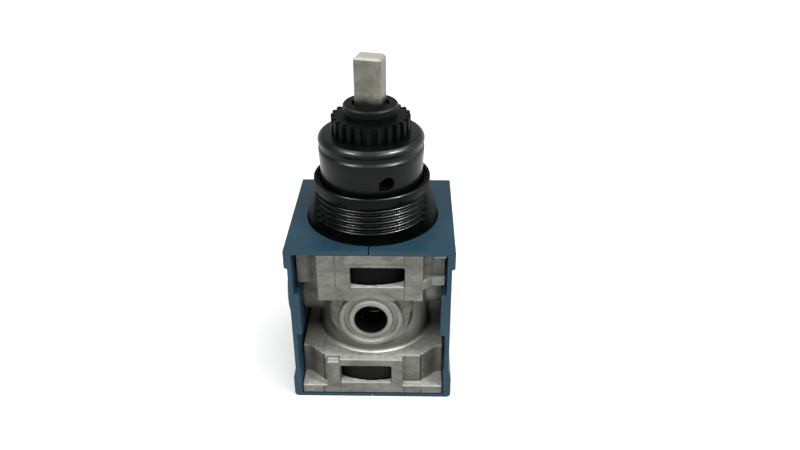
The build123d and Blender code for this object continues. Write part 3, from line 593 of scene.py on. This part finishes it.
def lathe(name, outline, steps=240):
    """A closed mesh turned about Z from (radius, height) corners, from axis to axis."""
    mesh = bpy.data.meshes.new(name)
    shell = bmesh.new()
    corners = [shell.verts.new((radius * MM, 0, z * MM)) for radius, z in outline]
    for low, high in zip(corners, corners[1:]):
        shell.edges.new((low, high))
    bmesh.ops.spin(shell, geom=shell.verts[:] + shell.edges[:], axis=(0, 0, 1), cent=(0, 0, 0),
                   angle=2 * math.pi, steps=steps, use_merge=True)
    bmesh.ops.remove_doubles(shell, verts=shell.verts, dist=1e-6)
    bmesh.ops.recalc_face_normals(shell, faces=shell.faces)
    shell.to_mesh(mesh)
    shell.free()
    return mesh


def rounded_sleeve():
    """The detent sleeve with its well-rounded shoulder."""
    radius, top, rounding = SHOULDER
    start = top - rounding - 0.15
    outline = [(0, 50.0), (19.0, 50.0), (19.0, start), (radius + CLEAR, start)]
    for turn in np.linspace(0, math.pi / 2, 9):
        outline.append((radius + CLEAR - rounding + rounding * math.cos(turn),
                        top - rounding + rounding * math.sin(turn)))
    outline += [(radius - rounding, top + 1.0), (0, top + 1.0)]
    envelope = bpy.data.objects.new("sleeve_envelope", lathe("sleeve_envelope", outline))
    bpy.context.scene.collection.objects.link(envelope)
    piece = new_piece("rounded_sleeve", NODES["detent_sleeve"].data.copy(), "detent_sleeve")
    trim = piece.modifiers.new("trim", "BOOLEAN")
    trim.operation = "INTERSECT"
    trim.solver = "EXACT"
    trim.object = envelope
    applied(piece)
    bpy.data.objects.remove(envelope)
    dress(piece, MATERIALS["black_plastic"])
    smooth(piece, 30)
    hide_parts("detent_sleeve")


LEDGE_PLAN = (
    (16.6, -22.9), (17.0, -22.6), (19.9, -19.95), (24.05, -19.95), (24.05, -17.8), (16.6, -17.8),
)
LEDGE_Z = (43.3, 46.5)


def corner_ledge(name, turned):
    """The ledge along the foot of the upper deck's set-back corner, turned for the back one."""
    shell = bmesh.new()
    sign = -1 if turned else 1
    low = [shell.verts.new((sign * x * MM, sign * y * MM, LEDGE_Z[0] * MM)) for x, y in LEDGE_PLAN]
    base = shell.faces.new(low)
    lifted = bmesh.ops.extrude_face_region(shell, geom=[base])
    top = [item for item in lifted["geom"] if isinstance(item, bmesh.types.BMVert)]
    bmesh.ops.translate(shell, verts=top, vec=(0, 0, (LEDGE_Z[1] - LEDGE_Z[0]) * MM))
    bmesh.ops.recalc_face_normals(shell, faces=shell.faces)
    bmesh.ops.bevel(shell, geom=shell.edges[:], offset=0.2 * MM, segments=3,
                    affect="EDGES", profile=0.5)
    mesh = bpy.data.meshes.new(name)
    shell.to_mesh(mesh)
    shell.free()
    piece = new_piece(name, mesh, "body_casting", LIT_LEDGE_CASTING)
    smooth(piece, 40)


# ------------------------------------------------------------ springs, diaphragm and edges
def squashed_copy(name, node_name):
    """A spring or membrane as its own piece, copied from the part where it stands.

    The part itself is hidden.
    """
    mesh = NODES[node_name].data.copy()
    mesh.transform(NODES[node_name].matrix_world)
    piece = new_piece(name, mesh, node_name)
    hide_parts(node_name)
    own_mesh(piece)


def soften_edges(name, width, segments=2):
    """A small bevel on a part's hard edges."""
    bevel = NODES[name].modifiers.new("edge_break", "BEVEL")
    bevel.width = width * MM
    bevel.segments = segments
    bevel.limit_method = "ANGLE"
    bevel.angle_limit = math.radians(35)
    bevel.use_clamp_overlap = True
    bevel.harden_normals = True


for name, node in NODES.items():
    dress(node, MATERIALS[SLOTS[name]])
dress(NODES["lock_spline_ring"], MATT_BLACK)
dress(NODES["spindle_bush"], MATT_BLACK)
dress(NODES["bottom_cap"], DULL_BLACK)
dress(NODES["spring_nut"], SHADED_BRASS)

cast_body()
bonnet()
rounded_sleeve()
squashed_copy("main_spring_coil", "main_spring")
squashed_copy("return_spring_coil", "return_spring")
squashed_copy("rolling_diaphragm", "diaphragm")
corner_ledge("front_corner_ledge", turned=False)
corner_ledge("back_corner_ledge", turned=True)
for name in ("left_cover", "right_cover"):
    soften_edges(name, width=0.35, segments=3)
for name in ("lock_spline_ring", "spindle_bush", "adjusting_spindle"):
    soften_edges(name, width=0.15)


# ------------------------------------------------------------ floor, light and camera
# a place in millimetres, three angles in degrees and a focal length
CAMERA_PLACE = (13.25, -224.94, 183.59)
CAMERA_TURN = 1.04
CAMERA_TILT = 60.15
CAMERA_ROLL = -0.09
CAMERA_LENS = 34.26


def camera():
    """Looks down on the front from above."""
    data = bpy.data.cameras.new("camera")
    data.lens = CAMERA_LENS
    data.sensor_width = 36.0
    data.clip_start = 0.01
    data.clip_end = 20.0
    holder = bpy.data.objects.new("camera", data)
    bpy.context.scene.collection.objects.link(holder)
    turn = Matrix.Rotation(math.radians(CAMERA_TURN), 4, "Z")
    tilt = Matrix.Rotation(math.radians(CAMERA_TILT), 4, "X")
    roll = Matrix.Rotation(math.radians(CAMERA_ROLL), 4, "Z")
    holder.matrix_world = Matrix.Translation(Vector(CAMERA_PLACE) * MM) @ turn @ tilt @ roll
    bpy.context.scene.camera = holder


def floor():
    """A plain pale floor."""
    bpy.ops.mesh.primitive_plane_add(size=6.0, location=(0, 0, 0))
    plane = bpy.context.object
    plane.name = "floor"
    g = Graph("pale_floor")
    base = g.mix(g.noise(40.0), colour(204, 204, 204), colour(210, 210, 210))
    g.set(Base_Color=base, Roughness=0.9)
    dress(plane, g.material)


def towards(azimuth, elevation):
    """A direction out from the object; azimuth 0 is in front, positive to the right."""
    a, e = math.radians(azimuth), math.radians(elevation)
    return Vector((math.sin(a) * math.cos(e), -math.cos(a) * math.cos(e), math.sin(e)))


def softbox(name, azimuth, elevation, distance, size, power):
    """A lamp that looks at the object; distance and size are in metres."""
    away = towards(azimuth, elevation)
    data = bpy.data.lights.new(name, "AREA")
    data.shape = "RECTANGLE"
    data.size, data.size_y = size
    data.energy = power
    holder = bpy.data.objects.new(name, data)
    bpy.context.scene.collection.objects.link(holder)
    holder.location = Vector((0, 0, 0.06)) + away * distance
    holder.rotation_euler = away.to_track_quat("Z", "Y").to_euler()


def sky(azimuth, elevation, spread, strength):
    """One very soft, even lamp for the whole floor."""
    data = bpy.data.lights.new("key_front", "SUN")
    data.energy = strength
    data.angle = math.radians(spread)
    holder = bpy.data.objects.new("key_front", data)
    bpy.context.scene.collection.objects.link(holder)
    holder.rotation_euler = towards(azimuth, elevation).to_track_quat("Z", "Y").to_euler()


def room_light(horizon, overhead):
    """White walls that fade to a greyer ceiling."""
    world = bpy.data.worlds.new("white_room")
    world.use_nodes = True
    tree = world.node_tree
    background = tree.nodes["Background"]
    background.inputs["Color"].default_value = (1, 1, 1, 1)
    direction = tree.nodes.new("ShaderNodeTexCoord")
    split = tree.nodes.new("ShaderNodeSeparateXYZ")
    fade = tree.nodes.new("ShaderNodeMapRange")
    tree.links.new(direction.outputs["Generated"], split.inputs[0])
    tree.links.new(split.outputs["Z"], fade.inputs["Value"])
    fade.inputs["From Min"].default_value = 0.05
    fade.inputs["From Max"].default_value = 0.40
    fade.inputs["To Min"].default_value = horizon
    fade.inputs["To Max"].default_value = overhead
    tree.links.new(fade.outputs["Result"], background.inputs["Strength"])
    bpy.context.scene.world = world


camera()
floor()
room_light(horizon=1.0, overhead=0.45)
sky(azimuth=10, elevation=66, spread=95, strength=4.3)
softbox("key_right", azimuth=62, elevation=48, distance=0.9, size=(0.16, 0.16), power=6.0)
softbox("fill_left", azimuth=-52, elevation=46, distance=0.9, size=(0.18, 0.18), power=2.6)
bpy.context.scene.view_settings.view_transform = "Standard"
